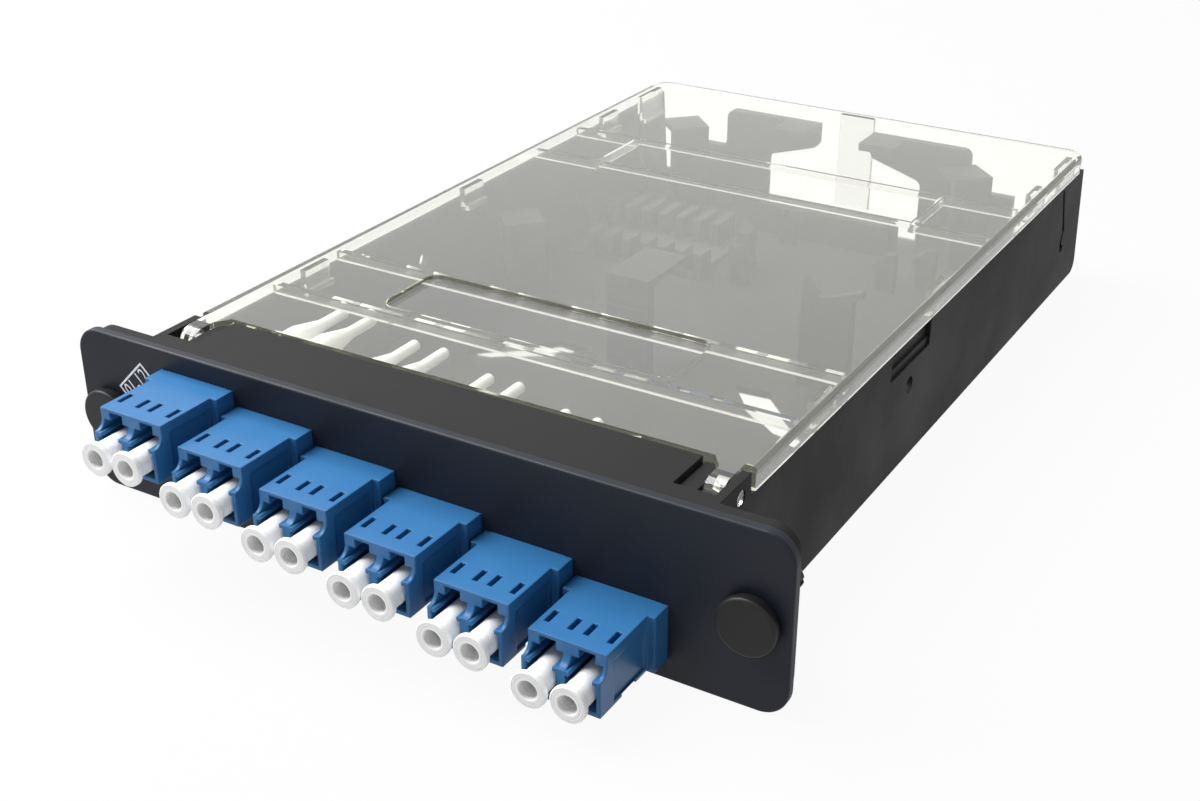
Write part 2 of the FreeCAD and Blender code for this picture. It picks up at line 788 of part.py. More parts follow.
def add_rear_wall(body):
    """Two T-shaped arms, mirrored, with cable notches outside them."""
    for name, side in SIDES:
        sketch = new_sketch(body, name + "_rear_outline", "XZ_Plane", "-rear_wall_place")
        foot = "-tray_floor"
        sign = "%d * " % side
        draw_loop(sketch, (
            (sign + "rear_neck_inner", foot),
            (sign + "rear_neck_inner", "rear_arm_root"),
            (sign + "rear_gap_half", "rear_arm_rise"),
            (sign + "rear_gap_half", "rear_wall_top"),
            (sign + "rear_neck_outer", "rear_wall_top"),
            (sign + "rear_neck_outer", "rear_notch_sill"),
            (sign + "rear_entry_inner", "rear_notch_sill"),
            (sign + "rear_entry_inner", "-rear_entry_sill"),
            (sign + INNER_HALF, "-rear_entry_sill"),
            (sign + INNER_HALF, foot),
        ))
        wall = pad(body, name + "_rear_wall", sketch, "rear_wall_thickness")

        def at_arm(edge):
            box = edge.BoundBox
            across = side * (box.XMin + box.XMax) / 2
            places = (
                (VALUE["rear_gap_half"], VALUE["rear_arm_rise"]),
                (VALUE["rear_neck_outer"], VALUE["rear_wall_top"]),
                (VALUE["rear_neck_outer"], VALUE["rear_notch_sill"]),
                (VALUE["rear_neck_inner"], VALUE["rear_arm_root"]),
            )
            at_place = any(near(across, x) and near(box.ZMin, z) for x, z in places)
            return runs_along(edge, "y") and at_place

        round_edges(body, name + "_arm_corners", wall, at_arm, "rear_arm_round")
        inner = sign + "rear_gap_half"
        outer = sign + "(rear_gap_half + rear_tab_length)"
        low, high = (outer, inner) if side < 0 else (inner, outer)
        back = "rear_wall_place - rear_wall_thickness"
        block(body, name + "_rear_tab", (low, high), (back + " - rear_tab_width", back),
              ("rear_wall_top - rear_tab_thickness", "rear_wall_top"))
    sill = block(body, "rear_sill", ("-sill_half", "sill_half"), ("sill_front", "sill_front + sill_depth"),
                 (FLOOR_TOP, FLOOR_TOP + " + sill_height"))
    top = VALUE["floor_thickness"] - VALUE["tray_floor"] + VALUE["sill_height"]

    def on_sill(edge):
        box = edge.BoundBox
        at_end = near(abs(box.XMin), VALUE["sill_half"]) and near(box.ZMin, top)
        return runs_along(edge, "y") and at_end

    round_edges(body, "sill_ends", sill, on_sill, "sill_round")


def add_guides(body):
    """Tabs that hold the fibre loops down, each carried by its own post."""
    # bridge in the middle of the tray
    block(body, "bridge_post", ("bridge_left", "bridge_left + bridge_width"),
          ("bridge_front", "bridge_front + guide_post"), ("-tray_floor", "guide_top"))
    block(body, "bridge_tab", ("bridge_left", "bridge_left + bridge_width"),
          ("bridge_front", "bridge_front + bridge_length"), ("guide_top - guide_tab_thickness", "guide_top"))
    # hook to the right of it, with a dipped top and a short nose
    hook = new_sketch(body, "hook_outline", "XZ_Plane", "-(hook_front + guide_post)")
    right = "hook_left + hook_width"
    draw_loop(hook, (
        ("hook_left", "-tray_floor"),
        (right, "-tray_floor"),
        (right, "hook_top - hook_dip + 0.4"),
        (right + " + hook_reach", "hook_top - hook_dip / 2"),
        (right + " + hook_reach", "hook_top"),
        ("hook_left + hook_width * 0.55", "hook_top - hook_dip + 0.3"),
        ("hook_left + hook_width * 0.33", "hook_top - hook_dip"),
        ("hook_left + 0.5", "hook_top"),
    ))
    pad(body, "hook", hook, "guide_post")
    # square tabs set at 45 degrees along the fibre loop
    for name, x, y, top in DIAMONDS:
        add_diamond(body, name, x, y, top)
    # low fingers with a lip, ahead of the rear wall
    for name, facing, x, y in FINGERS:
        finger = new_sketch(body, name + "_outline", "XZ_Plane", "-(%s + guide_post)" % y)
        top = FLOOR_TOP + " + finger_height"
        out = "%s + %d * " % (x, facing)
        draw_loop(finger, (
            (out + "finger_width / 2", "-tray_floor"),
            (out + "finger_width / 2", top + " - 3 * finger_lip"),
            (out + "(finger_width / 2 + finger_lip)", top + " - 2.5 * finger_lip"),
            (out + "finger_width / 2", top + " - 1.4 * finger_lip"),
            (x, top),
            (out + "-finger_width / 2", top),
            (out + "-finger_width / 2", "-tray_floor"),
        ))
        pad(body, name, finger, "guide_post")
    # upright clips at both ends of the splice holder
    for name, x in (("left", "comb_left - comb_post - window_gap"), ("right", "comb_left + comb_width + 5")):
        block(body, name + "_clip", (x, x + " + comb_post"),
              ("comb_post_place", "comb_post_place + comb_post_depth"),
              ("-tray_floor", FLOOR_TOP + " + comb_base + comb_post_height"))


DIAMONDS = (
    ("left_diamond", "-43.6", "96.1", "guide_top / 2"),
    ("left_rear_diamond", "-37.5", "156.4", "guide_top + 1"),
    ("right_rear_diamond", "30.0", "156.6", "guide_top + 1"),
)

FINGERS = (
    ("finger_one", -1, "22.8", "132.2"),
    ("finger_two", -1, "29.3", "138.0"),
    ("finger_three", 1, "-5.9", "145.5"),
    ("finger_four", 1, "-5.2", "119.8"),
)


def add_diamond(body, name, x, y, top):
    turn = FreeCAD.Rotation(FreeCAD.Vector(0, 0, 1), 45)
    post = body.newObject("PartDesign::AdditiveBox", name + "_post")
    tab = body.newObject("PartDesign::AdditiveBox", name + "_tab")
    for feature in (post, tab):
        feature.Placement = FreeCAD.Placement(FreeCAD.Vector(), turn)
        bind(feature, "Placement.Base.x", x)
        bind(feature, "Length", "guide_tab")
    bind(post, "Placement.Base.y", "%s - guide_tab * 0.7071" % y)
    bind(post, "Width", "guide_post")
    bind(post, "Placement.Base.z", "-tray_floor")
    bind(post, "Height", "%s + tray_floor" % top)
    bind(tab, "Placement.Base.y", "%s - guide_tab * 0.7071" % y)
    bind(tab, "Width", "guide_tab")
    bind(tab, "Placement.Base.z", "%s - guide_tab_thickness" % top)
    bind(tab, "Height", "guide_tab_thickness")


def cut_deck(body):
    """At each end a lower ledge, a well in it for the lid's hinge arm and a narrow slot beside it."""
    for name, side in SIDES:
        outer = "%d * %s" % (side, INNER_HALF)
        inner = "%d * (%s - well_width)" % (side, INNER_HALF)
        well = new_sketch(body, name + "_well_outline", "XY_Plane", "deck_top")
        draw_loop(well, (
            (outer, "well_start"),
            (outer, LID_FRONT),
            (inner + " - %d * arm_flare" % side, LID_FRONT),
            (inner, "hinge_place + flare_start - arm_gap"),
            (inner, "well_start"),
        ))
        pocket(body, name + "_well", well, "deck_thickness")
        start = INNER_HALF + " - deck_slot_inset"
        along = ("deck_slot_start", "deck_length")
        block(body, name + "_ledge", span(side, start, INNER_HALF), along,
              ("deck_top - deck_fall", "deck_top"), "Subtractive")
        block(body, name + "_deck_slot", span(side, start, start + " + deck_slot_width"), along,
              ("deck_top - deck_thickness", "deck_top - deck_fall"), "Subtractive")


def cut_walls(body):
    hole_x = "-" + TRAY_HALF
    rod(body, "hinge_bore", ALONG_X, (hole_x, "hinge_place", "hinge_height"),
        "pin_radius + pin_gap", "tray_width", "Subtractive")
    rod(body, "wall_hole", ALONG_X, (hole_x, "tray_hole_place", "tray_hole_rise"),
        "tray_hole_radius", "tray_width", "Subtractive")
    for name, side in SIDES:
        spans = []
        for depth in ("grip_depth", "grip_depth / 2"):
            outer = "%d * %s" % (side, TRAY_HALF)
            inner = "%d * (%s - %s)" % (side, TRAY_HALF, depth)
            spans.append((outer, inner) if side < 0 else (inner, outer))
        along = ("grip_start", "grip_start + grip_length")
        block(body, name + "_grip", spans[0], along, ("grip_sill + grip_ledge", "wall_top"), "Subtractive")
        block(body, name + "_grip_sill", spans[1], along, ("grip_sill", "grip_sill + grip_ledge"),
              "Subtractive")
        start = INNER_HALF if side > 0 else "-" + TRAY_HALF
        slot = new_sketch(body, name + "_spring_slot_outline", "YZ_Plane", start)
        foot = "spring_slot_start + spring_slot_lean"
        wide = " + spring_slot_width"
        draw_loop(slot, (
            ("spring_slot_start", "spring_slot_top"),
            (foot, "-spring_slot_foot"),
            (foot + " - spring_slot_width", "-spring_slot_foot - spring_slot_width"),
            (foot + " - spring_slot_width / 2", "-spring_hook_drop"),
            (foot + wide, "-spring_hook_drop - spring_slot_width / 2"),
            (foot + " + 2 * spring_slot_width", "-spring_hook_drop + spring_slot_width"),
            (foot + wide, "-spring_hook_drop + spring_slot_width"),
            (foot + " + spring_slot_width / 4", "-spring_slot_foot - 2 * spring_slot_width"),
            (foot + wide + " * 1.4", "-spring_slot_foot"),
            ("spring_slot_start" + wide, "spring_slot_top"),
        ))
        pocket(body, name + "_spring_slot", slot, "wall_thickness", backwards=True)


def cut_floor(body):
    """Openings in the floor under the guides, where the mould's slides passed."""
    for name, corners in FLOOR_OPENINGS:
        sketch = new_sketch(body, name + "_outline", "XY_Plane", "-tray_floor")
        draw_loop(sketch, corners)
        pocket(body, name, sketch, "floor_thickness", backwards=True)


FLOOR_OPENINGS = (
    ("right_opening", (("15.8", "77.6"), ("22.8", "78.2"), ("34.5", "66.5"),
                       ("35.5", "62.8"), ("30", "64"), ("21.5", "70.5"))),
    ("left_opening", (("-15.8", "77.6"), ("-22.8", "78.2"), ("-34.5", "66.5"),
                      ("-35.5", "62.8"), ("-30", "64"), ("-21.5", "70.5"))),
    ("small_opening", (("-47", "96.3"), ("-43.7", "99.8"), ("-40.8", "96.3"))),
)


# Splice holder: two rows of teeth on one base.
def make_splice_holder():
    body = new_body("splice_holder")
    base_top = FLOOR_TOP + " + comb_base"
    right = "comb_left + comb_width"
    rear = "comb_front + comb_depth"
    block(body, "comb_base_plate", ("comb_left", right), ("comb_front", rear), (FLOOR_TOP, base_top))
    front_end = "comb_front + front_tooth_depth"
    rows = (
        ("front", front_end, "front_tooth_depth", "comb_left + front_tooth_start"),
        ("rear", rear, "rear_tooth_depth", "comb_left"),
    )
    for row_name, end, depth, start in rows:
        comb = new_sketch(body, row_name + "_comb_outline", "XZ_Plane", "-(%s)" % end)
        for index in range(TEETH):
            left = "%s + %d * tooth_pitch" % (start, index)
            draw_box(comb, left, left + " + tooth_width", FLOOR_TOP, base_top + " + tooth_height")
        pad(body, row_name + "_comb", comb, depth)
    keep("splice_holder", body)


TEETH = 7


# Lid: one clear moulding with side skirts, ribs, inner tabs, a rear tongue and two hinge arms.
def make_lid():
    body = new_body("lid")
    outline = new_sketch(body, "lid_outline", "XY_Plane", LID_UNDER)
    draw_box(outline, "-" + TRAY_HALF, TRAY_HALF, LID_FRONT, "lid_rear")
    plate = pad(body, "lid_plate", outline, "lid_thickness")
    rear = VALUE["lid_rear"]

    def at_rear(edge):
        return runs_along(edge, "z") and near(edge.BoundBox.YMin, rear)

    corners = round_edges(body, "lid_corners", plate, at_rear, "lid_corner")
    top = VALUE["lid_top"]
    front = VALUE["deck_length"] + VALUE["lid_gap"]

    def on_top(edge):
        box = edge.BoundBox
        return near(box.ZMin, top) and near(box.ZMax, top) and not near(box.YMax, front)

    round_edges(body, "lid_top_edge", corners, on_top, "lid_edge")
    for name, side in SIDES:
        add_skirt(body, name, side)
        add_hinge_arm(body, name, side)
        add_lid_tabs(body, name, side)
    add_ribs(body)
    block(body, "rear_tongue", ("-tongue_half", "tongue_half"),
          ("lid_rear - tongue_inset - tongue_thickness", "lid_rear - tongue_inset"),
          (LID_UNDER + " - tongue_drop", LID_UNDER))
    label = new_sketch(body, "label_outline", "XY_Plane", "lid_top")
    draw_box(label, "-label_half + label_corner", "label_half - label_corner",
             "label_front", "label_front + label_depth_along")
    pocket(body, "label_field", label, "label_recess")
    for name, side in SIDES:
        outer = "%d * label_half" % side
        inner = "%d * (label_half - label_corner)" % side
        low, high = (outer, inner) if side < 0 else (inner, outer)
        block(body, name + "_label_end", (low, high),
              ("label_front + label_corner", "label_front + label_depth_along - label_corner"),
              ("lid_top - label_recess", "lid_top"), "Subtractive")
        for end, y in (("front", "label_front + label_corner"),
                       ("rear", "label_front + label_depth_along - label_corner")):
            rod(body, "%s_%s_label_corner" % (name, end), FreeCAD.Rotation(),
                (inner, y, "lid_top - label_recess"), "label_corner", "label_recess", "Subtractive")
    keep("lid", body)


def span(side, near_value, far_value):
    """Lowest and highest X of a stretch that lies on one side of the middle."""
    inner = "%d * (%s)" % (side, near_value)
    outer = "%d * (%s)" % (side, far_value)
    return (outer, inner) if side < 0 else (inner, outer)


def add_skirt(body, name, side):
    across = span(side, TRAY_HALF + " - skirt_thickness", TRAY_HALF)
    block(body, name + "_skirt", across, ("skirt_front", "lid_rear - lid_corner"),
          ("wall_top + skirt_gap", LID_UNDER))
    block(body, name + "_skirt_head", across, ("skirt_front", LID_FRONT + " + lid_edge"),
          (LID_UNDER, "lid_top - lid_edge"))


def add_hinge_arm(body, name, side):
    outer = INNER_HALF + " - arm_gap"
    inner = outer + " - arm_width"
    barrel = "lid_top - hinge_height"
    sketch = new_sketch(body, name + "_arm_outline", "XY_Plane", LID_UNDER)
    sign = "%d * (" % side
    draw_loop(sketch, (
        (sign + outer + ")", "hinge_place"),
        (sign + outer + ")", LID_FRONT + " + lid_edge"),
        (sign + inner + " - arm_flare)", LID_FRONT + " + lid_edge"),
        (sign + inner + " - arm_flare)", LID_FRONT),
        (sign + inner + ")", "hinge_place + flare_start"),
        (sign + inner + ")", "hinge_place"),
    ))
    pad(body, name + "_arm", sketch, "lid_thickness")
    low = span(side, inner, outer)[0]
    rod(body, name + "_barrel", ALONG_X, (low, "hinge_place", "hinge_height"), barrel, "arm_width")
    low = span(side, outer, TRAY_HALF + " - arm_gap / 2")[0]
    rod(body, name + "_pin", ALONG_X, (low, "hinge_place", "hinge_height"),
        "pin_radius", "wall_thickness + arm_gap / 2")


def add_lid_tabs(body, name, side):
    """Tabs that reach down inside the tray wall, each with a small inward foot."""
    outer = INNER_HALF + " - lid_tab_gap"
    inner = outer + " - lid_tab_thickness"
    foot = inner + " - lid_tab_foot"
    for number, start in enumerate(("lid_tab_one", "lid_tab_two", "lid_tab_three"), start=1):
        along = (start, start + " + lid_tab_length")
        low = LID_UNDER + " - lid_tab_drop"
        block(body, "%s_tab_%d" % (name, number), span(side, inner, outer), along, (low, LID_UNDER))
        block(body, "%s_tab_foot_%d" % (name, number), span(side, foot, inner), along,
              (low, low + " + lid_tab_foot"))
    block(body, name + "_corner_tab", span(side, inner, outer),
          ("corner_tab_start", "corner_tab_start + corner_tab_length"),
          (LID_UNDER + " - corner_tab_drop", LID_UNDER))
    block(body, name + "_corner_tab_foot", span(side, foot, inner),
          ("corner_tab_start", "corner_tab_start + corner_tab_length"),
          (LID_UNDER + " - corner_tab_drop", LID_UNDER + " - corner_tab_drop + lid_tab_foot"))


def add_ribs(body):
    """Cross ribs under the lid; the rear pair is shallower between two lengthways ribs."""
    reach = INNER_HALF + " - arm_gap"
    for name, place in (("one", "rib_one"), ("two", "rib_two")):
        block(body, "rib_" + name + "_full", ("-(%s)" % reach, reach), (place, place + " + rib_thickness"),
              (LID_UNDER + " - rib_depth", LID_UNDER))
    for name, place in (("three", "rib_three"), ("four", "rib_four")):
        along = (place, place + " + rib_thickness")
        block(body, "rib_" + name + "_middle", ("-rib_step", "rib_step"), along,
              (LID_UNDER + " - rib_shallow", LID_UNDER))
        for side_name, side in SIDES:
            block(body, "rib_%s_%s" % (name, side_name), span(side, "rib_step", reach), along,
                  (LID_UNDER + " - rib_depth", LID_UNDER))
    for side_name, side in SIDES:
        block(body, side_name + "_long_rib", span(side, "rib_step", "rib_step + rib_thickness / 2"),
              ("rib_three", "rib_four + rib_thickness"), (LID_UNDER + " - rib_depth", LID_UNDER))


def check_and_write():
    doc.recompute()
    for item in doc.Objects:
        if "Invalid" in item.State or "Error" in item.State:
            raise RuntimeError("%s is %s" % (item.Name, item.State))
    os.makedirs("parts", exist_ok=True)
    for name, item in pieces.items():
        shape = item.Shape
        if shape.isNull() or not shape.isValid() or not shape.Solids:
            raise RuntimeError(name + " has no sound shape")
    for name, item in pieces.items():
        item.Shape.exportStep("parts/%s.step" % name)
    print(len(pieces), "sub-parts written")


make_faceplate()
place_repeats()
make_tray()
make_splice_holder()
make_lid()
check_and_write()
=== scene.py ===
import math

import bmesh
import bpy
from mathutils import Matrix, Vector


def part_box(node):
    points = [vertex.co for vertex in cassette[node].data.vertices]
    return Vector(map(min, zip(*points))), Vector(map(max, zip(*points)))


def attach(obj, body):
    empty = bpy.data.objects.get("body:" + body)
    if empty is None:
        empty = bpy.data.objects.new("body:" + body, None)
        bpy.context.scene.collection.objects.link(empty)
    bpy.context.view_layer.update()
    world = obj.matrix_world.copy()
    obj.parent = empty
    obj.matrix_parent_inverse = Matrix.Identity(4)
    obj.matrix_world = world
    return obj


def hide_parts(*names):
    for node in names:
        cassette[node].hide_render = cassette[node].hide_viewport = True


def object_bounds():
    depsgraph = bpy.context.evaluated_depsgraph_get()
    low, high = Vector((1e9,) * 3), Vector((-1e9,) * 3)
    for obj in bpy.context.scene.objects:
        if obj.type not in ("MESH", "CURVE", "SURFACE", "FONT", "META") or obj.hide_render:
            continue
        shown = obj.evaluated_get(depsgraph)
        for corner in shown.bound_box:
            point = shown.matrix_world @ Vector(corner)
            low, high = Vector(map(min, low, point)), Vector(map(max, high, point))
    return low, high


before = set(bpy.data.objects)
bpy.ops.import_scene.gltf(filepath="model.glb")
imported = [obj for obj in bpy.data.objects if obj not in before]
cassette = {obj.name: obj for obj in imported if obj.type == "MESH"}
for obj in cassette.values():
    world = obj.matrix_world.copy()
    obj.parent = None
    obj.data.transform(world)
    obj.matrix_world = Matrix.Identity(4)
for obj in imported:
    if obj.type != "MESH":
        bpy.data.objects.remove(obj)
cad_box = [list(corner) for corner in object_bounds()]
MM = 0.001
WHITE = (1, 1, 1, 1)

# Camera above and to the right of the ports, and its way of looking.
CAMERA_PLACE = Vector((136.703, -173.345, 128.484)) * MM
CAMERA_AIM = Vector((-0.45681, 0.76302, -0.45731))
LENS_MM = 50
SENSOR_MM = 36
NEAREST = 0.01
FARTHEST = 20

# One softbox, high up on the left, in an even white room.
SOFTBOX_PLACE = Vector((-0.44, -0.02, 0.52))
SOFTBOX_AIM = Vector((-0.03, 0.04, 0))
SOFTBOX_SIDE = 0.6
SOFTBOX_WATTS = 10.8
ROOM_LIGHT = 0.38
BACKGROUND_LIGHT = 1.0

# The floor, and how much of its white is glow rather than paint.
FLOOR_SIZE = 3.0
FLOOR_BACK = 0.1
FLOOR_GAP = 0.05 * MM
FLOOR_PAINT = (0.52, 0.52, 0.52, 1)
FLOOR_GLOW_SHARE = 0.94


def turned_to(place, direction):
    """The place of a camera or lamp that looks along a direction."""
    return Matrix.Translation(place) @ direction.to_track_quat("-Z", "Y").to_matrix().to_4x4()


def place_camera():
    data = bpy.data.cameras.new("studio_camera")
    data.lens = LENS_MM
    data.sensor_width = SENSOR_MM
    data.clip_start = NEAREST
    data.clip_end = FARTHEST
    camera = bpy.data.objects.new("studio_camera", data)
    bpy.context.scene.collection.objects.link(camera)
    camera.matrix_world = turned_to(CAMERA_PLACE, CAMERA_AIM)
    bpy.context.scene.camera = camera


def hang_softbox():
    data = bpy.data.lights.new("left_softbox", "AREA")
    data.shape = "RECTANGLE"
    data.size = SOFTBOX_SIDE
    data.size_y = SOFTBOX_SIDE
    data.energy = SOFTBOX_WATTS
    lamp = bpy.data.objects.new("left_softbox", data)
    bpy.context.scene.collection.objects.link(lamp)
    lamp.matrix_world = turned_to(SOFTBOX_PLACE, SOFTBOX_AIM - SOFTBOX_PLACE)


def joined(tree, operation, first, second):
    """A Math node fed by two sockets."""
    node = tree.nodes.new("ShaderNodeMath")
    node.operation = operation
    tree.links.new(first, node.inputs[0])
    tree.links.new(second, node.inputs[1])
    return node.outputs[0]


def mixed(tree, share, first, second):
    """A shader that goes from the first to the second with the share."""
    node = tree.nodes.new("ShaderNodeMixShader")
    tree.links.new(share, node.inputs[0])
    tree.links.new(first, node.inputs[1])
    tree.links.new(second, node.inputs[2])
    return node.outputs[0]


def white_for_eye(tree):
    """A factor of 1 for rays from the camera, off gloss and through glass."""
    path = tree.nodes.new("ShaderNodeLightPath").outputs
    seen = joined(tree, "MAXIMUM", path["Is Camera Ray"], path["Is Glossy Ray"])
    return joined(tree, "MAXIMUM", seen, path["Is Transmission Ray"])


def room_light(tree, strength):
    light = tree.nodes.new("ShaderNodeBackground")
    light.inputs["Color"].default_value = WHITE
    light.inputs["Strength"].default_value = strength
    return light.outputs[0]


def light_room():
    world = bpy.data.worlds.new("studio")
    bpy.context.scene.world = world
    world.use_nodes = True
    tree = world.node_tree
    tree.nodes.clear()
    out = tree.nodes.new("ShaderNodeOutputWorld")
    soft = room_light(tree, ROOM_LIGHT)
    background = room_light(tree, BACKGROUND_LIGHT)
    tree.links.new(mixed(tree, white_for_eye(tree), soft, background), out.inputs["Surface"])


def floor_finish():
    """White paint that glows for the eye, so the floor stays white and keeps a soft shadow."""
    material = bpy.data.materials.new("white_floor")
    material.use_nodes = True
    tree = material.node_tree
    tree.nodes.clear()
    out = tree.nodes.new("ShaderNodeOutputMaterial")
    paint = tree.nodes.new("ShaderNodeBsdfDiffuse")
    paint.inputs["Color"].default_value = FLOOR_PAINT
    glow = tree.nodes.new("ShaderNodeEmission")
    share = tree.nodes.new("ShaderNodeMath")
    share.operation = "MULTIPLY"
    share.inputs[1].default_value = FLOOR_GLOW_SHARE
    tree.links.new(white_for_eye(tree), share.inputs[0])
    both = mixed(tree, share.outputs[0], paint.outputs[0], glow.outputs[0])
    tree.links.new(both, out.inputs["Surface"])
    return material


def lay_floor():
    mesh = bpy.data.meshes.new("floor")
    sheet = bmesh.new()
    bmesh.ops.create_grid(sheet, x_segments=2, y_segments=2, size=FLOOR_SIZE)
    under_cassette = cad_box[0][2] - FLOOR_GAP
    bmesh.ops.translate(sheet, verts=sheet.verts, vec=(0, FLOOR_BACK, under_cassette))
    sheet.to_mesh(mesh)
    sheet.free()
    mesh.materials.append(floor_finish())
    floor = bpy.data.objects.new("floor", mesh)
    bpy.context.scene.collection.objects.link(floor)


# Moulded plastic: edge radius in millimetres, grain and clouds in waves per metre.
EDGE_MM = 0.15
EDGE_SAMPLES = 4
GRAIN_SCALE = 3000.0
GRAIN_HEIGHT = 0.2
GRAIN_DETAIL = 3.0
GRAIN_DEPTH = 0.04 * MM
CLOUD_SCALE = 60.0
CLOUD_DETAIL = 4.0
SPECK_SCALE = 2400.0
SPECK_DETAIL = 1.0
DRIFT_AMOUNT = 0.06
MID_GREY = (0.5, 0.5, 0.5, 1)
CLOUD_LOW = 0.3
CLOUD_HIGH = 0.7


def new_effect(name, inputs, outputs):
    """A node group with its named inputs, their usual values, and its outputs."""
    tree = bpy.data.node_groups.new(name, "ShaderNodeTree")
    for label, kind, value in inputs:
        tree.interface.new_socket(label, in_out="INPUT", socket_type=kind).default_value = value
    for label, kind in outputs:
        tree.interface.new_socket(label, in_out="OUTPUT", socket_type=kind)
    return tree, tree.nodes.new("NodeGroupInput").outputs, tree.nodes.new("NodeGroupOutput").inputs


def noise(tree, detail):
    """A noise over the piece's own coordinates."""
    node = tree.nodes.new("ShaderNodeTexNoise")
    node.inputs["Detail"].default_value = detail
    place = tree.nodes.new("ShaderNodeTexCoord").outputs["Object"]
    tree.links.new(place, node.inputs["Vector"])
    return node


def make_moulded_surface():
    """Soft edges with a fine grain over them, as a spark-eroded mould leaves."""
    tree, given, result = new_effect(
        "moulded_surface",
        (("Edge Radius", "NodeSocketFloat", EDGE_MM * MM),
         ("Grain Scale", "NodeSocketFloat", GRAIN_SCALE),
         ("Grain Height", "NodeSocketFloat", GRAIN_HEIGHT)),
        (("Normal", "NodeSocketVector"),))
    edge = tree.nodes.new("ShaderNodeBevel")
    edge.samples = EDGE_SAMPLES
    tree.links.new(given["Edge Radius"], edge.inputs["Radius"])
    grain = noise(tree, GRAIN_DETAIL)
    tree.links.new(given["Grain Scale"], grain.inputs["Scale"])
    bump = tree.nodes.new("ShaderNodeBump")
    bump.inputs["Distance"].default_value = GRAIN_DEPTH
    tree.links.new(given["Grain Height"], bump.inputs["Strength"])
    tree.links.new(grain.outputs["Fac"], bump.inputs["Height"])
    tree.links.new(edge.outputs["Normal"], bump.inputs["Normal"])
    tree.links.new(bump.outputs["Normal"], result["Normal"])
    return tree


def make_colour_drift():
    """Slight cloudiness of a colour, with fine specks."""
    tree, given, result = new_effect(
        "colour_drift",
        (("Color", "NodeSocketColor", MID_GREY),
         ("Cloud Scale", "NodeSocketFloat", CLOUD_SCALE),
         ("Amount", "NodeSocketFloat", DRIFT_AMOUNT)),
        (("Color", "NodeSocketColor"), ("Cloud", "NodeSocketFloat")))
    cloud = noise(tree, CLOUD_DETAIL)
    tree.links.new(given["Cloud Scale"], cloud.inputs["Scale"])
    speck = noise(tree, SPECK_DETAIL)
    speck.inputs["Scale"].default_value = SPECK_SCALE
    both = joined(tree, "ADD", cloud.outputs["Fac"], speck.outputs["Fac"])
    centred = tree.nodes.new("ShaderNodeMath")
    centred.operation = "SUBTRACT"
    centred.inputs[1].default_value = 1.0
    tree.links.new(both, centred.inputs[0])
    scaled = tree.nodes.new("ShaderNodeMath")
    scaled.operation = "MULTIPLY_ADD"
    scaled.inputs[2].default_value = 1.0
    tree.links.new(centred.outputs[0], scaled.inputs[0])
    tree.links.new(given["Amount"], scaled.inputs[1])
    tint = tree.nodes.new("ShaderNodeVectorMath")
    tint.operation = "SCALE"
    tree.links.new(given["Color"], tint.inputs[0])
    tree.links.new(scaled.outputs[0], tint.inputs["Scale"])
    tree.links.new(tint.outputs[0], result["Color"])
    tree.links.new(cloud.outputs["Fac"], result["Cloud"])
    return tree


MOULDED = make_moulded_surface()
DRIFT = make_colour_drift()


def place_effect(tree, effect, values):
    node = tree.nodes.new("ShaderNodeGroup")
    node.node_tree = effect
    for label, value in values.items():
        node.inputs[label].default_value = value
    return node.outputs


def rough_from(tree, cloud, low, high):
    """A roughness that goes from low to high with the clouds."""
    spread = tree.nodes.new("ShaderNodeMapRange")
    spread.inputs["From Min"].default_value = CLOUD_LOW
    spread.inputs["From Max"].default_value = CLOUD_HIGH
    spread.inputs["To Min"].default_value = low
    spread.inputs["To Max"].default_value = high
    tree.links.new(cloud, spread.inputs["Value"])
    return spread.outputs["Result"]


def plastic(name, colour, rough, specular=0.5, drift=DRIFT_AMOUNT, cloud=CLOUD_SCALE, edge=EDGE_MM,
            grain=GRAIN_SCALE, height=GRAIN_HEIGHT):
    """A moulded plastic: rough is its range of roughness, edge the radius of its edges in millimetres."""
    material = bpy.data.materials.new(name)
    material.use_nodes = True
    tree = material.node_tree
    shader = tree.nodes["Principled BSDF"]
    tint = place_effect(tree, DRIFT, {"Color": (*colour, 1), "Cloud Scale": cloud, "Amount": drift})
    surface = place_effect(tree, MOULDED, {"Edge Radius": edge * MM, "Grain Scale": grain,
                                           "Grain Height": height})
    tree.links.new(tint["Color"], shader.inputs["Base Color"])
    tree.links.new(surface["Normal"], shader.inputs["Normal"])
    tree.links.new(rough_from(tree, tint["Cloud"], *rough), shader.inputs["Roughness"])
    shader.inputs["Specular IOR Level"].default_value = specular
    return material


LID_TINT = (0.99, 0.99, 0.975, 1)
LID_IOR = 1.58
LID_CLEARNESS = 0.968
LID_ROUGH = (0.015, 0.03)
LID_CLOUD_SCALE = 40.0
LID_SHADOW_TINT = (0.95, 0.95, 0.93, 1)
LID_DEPTH_TINT = (0.95, 0.95, 0.7, 1)
LID_DEPTH_DENSITY = 50.0


